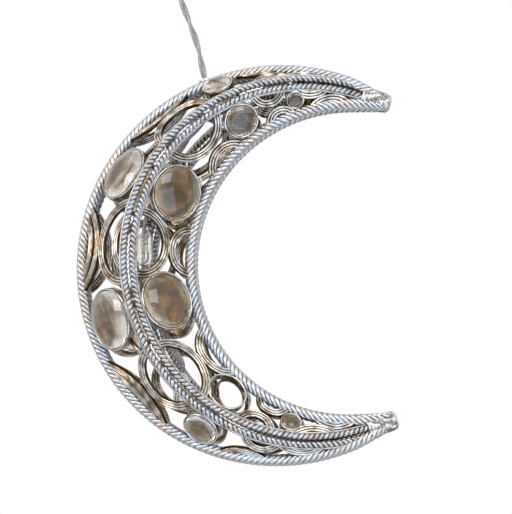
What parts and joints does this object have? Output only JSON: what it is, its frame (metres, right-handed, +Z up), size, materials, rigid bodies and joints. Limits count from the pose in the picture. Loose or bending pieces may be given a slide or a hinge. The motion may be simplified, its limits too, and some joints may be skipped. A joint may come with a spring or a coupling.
{
  "type": "hanging crescent lantern for a light curtain",
  "caption": "Openwork crescent-moon lantern with rope edges, grooved scrolls and clear stones, lit from inside, hanging on a twisted lead from a header splice.",
  "frame": {"origin": "middle of the header bore in the splice that the lantern hangs from", "axes": "+X along the header bore, to the right as pictured; +Y away from the viewer; +Z up"},
  "size_m": [0.1025, 0.037, 0.1713],
  "materials": {
    "plated_metal": "bright silver plating over cast and drawn metal",
    "smoky_clear_stone": "polished clear cabochon that reads smoky brown",
    "clear_lead": "clear flexible insulation over two cores",
    "clear_moulding": "clear moulded plastic",
    "clear_resin": "clear cast resin",
    "lamp_chip": "phosphor-coated lamp chip"
  },
  "bodies": {
    "header": {"header_splice": "clear_moulding"},
    "knot": {"lead_knot": "clear_lead"},
    "lead": {"lead_sleeve": "clear_lead", "drop_lead": "clear_lead", "lead_stop": "clear_lead"},
    "moon": {"front_outer_edge_rope": "plated_metal", "front_outer_ridge_rope": "plated_metal", "front_inner_edge_rope": "plated_metal", "front_inner_ridge_rope": "plated_metal", "back_outer_edge_rope": "plated_metal", "back_outer_ridge_rope": "plated_metal", "back_inner_edge_rope": "plated_metal", "back_inner_ridge_rope": "plated_metal", "front_outer_scrolls": "plated_metal", "front_inner_scrolls": "plated_metal", "back_outer_scrolls": "plated_metal", "back_inner_scrolls": "plated_metal", "front_inner_bow": "plated_metal", "back_inner_bow": "plated_metal", "front_outer_bezels": "plated_metal", "front_inner_bezels": "plated_metal", "back_outer_bezels": "plated_metal", "back_inner_bezels": "plated_metal", "upper_tip_cap": "plated_metal", "lower_tip_cap": "plated_metal", "lead_eyelet": "plated_metal", "front_outer_stone_1": "smoky_clear_stone", "front_outer_stone_2": "smoky_clear_stone", "front_outer_stone_3": "smoky_clear_stone", "front_outer_stone_4": "smoky_clear_stone", "front_inner_stone_1": "smoky_clear_stone", "front_inner_stone_2": "smoky_clear_stone", "front_inner_stone_3": "smoky_clear_stone", "front_inner_stone_4": "smoky_clear_stone", "front_inner_stone_5": "smoky_clear_stone", "back_outer_stone_1": "smoky_clear_stone", "back_outer_stone_2": "smoky_clear_stone", "back_outer_stone_3": "smoky_clear_stone", "back_outer_stone_4": "smoky_clear_stone", "back_inner_stone_1": "smoky_clear_stone", "back_inner_stone_2": "smoky_clear_stone", "back_inner_stone_3": "smoky_clear_stone", "back_inner_stone_4": "smoky_clear_stone", "back_inner_stone_5": "smoky_clear_stone", "inner_lead_upper": "clear_lead", "inner_lead_lower": "clear_lead", "lamp_1_drop": "clear_resin", "lamp_2_drop": "clear_resin", "lamp_1_chip": "lamp_chip", "lamp_2_chip": "lamp_chip"}
  },
  "joints": [
    {"name": "swing_side", "type": "hinge", "parent": "header", "child": "knot", "pos_m": [0, 0, -0.0075], "axis": [0, 1, 0], "range_deg": [-24, 24]},
    {"name": "swing_front", "type": "hinge", "parent": "knot", "child": "lead", "pos_m": [0, 0, -0.0075], "axis": [1, 0, 0], "range_deg": [-24, 24]},
    {"name": "moon_twist", "type": "hinge", "parent": "lead", "child": "moon", "pos_m": [0.0053, 0, -0.0503], "axis": [-0.0872, 0, 0.9962], "range_deg": [-180, 180]}
  ]
}
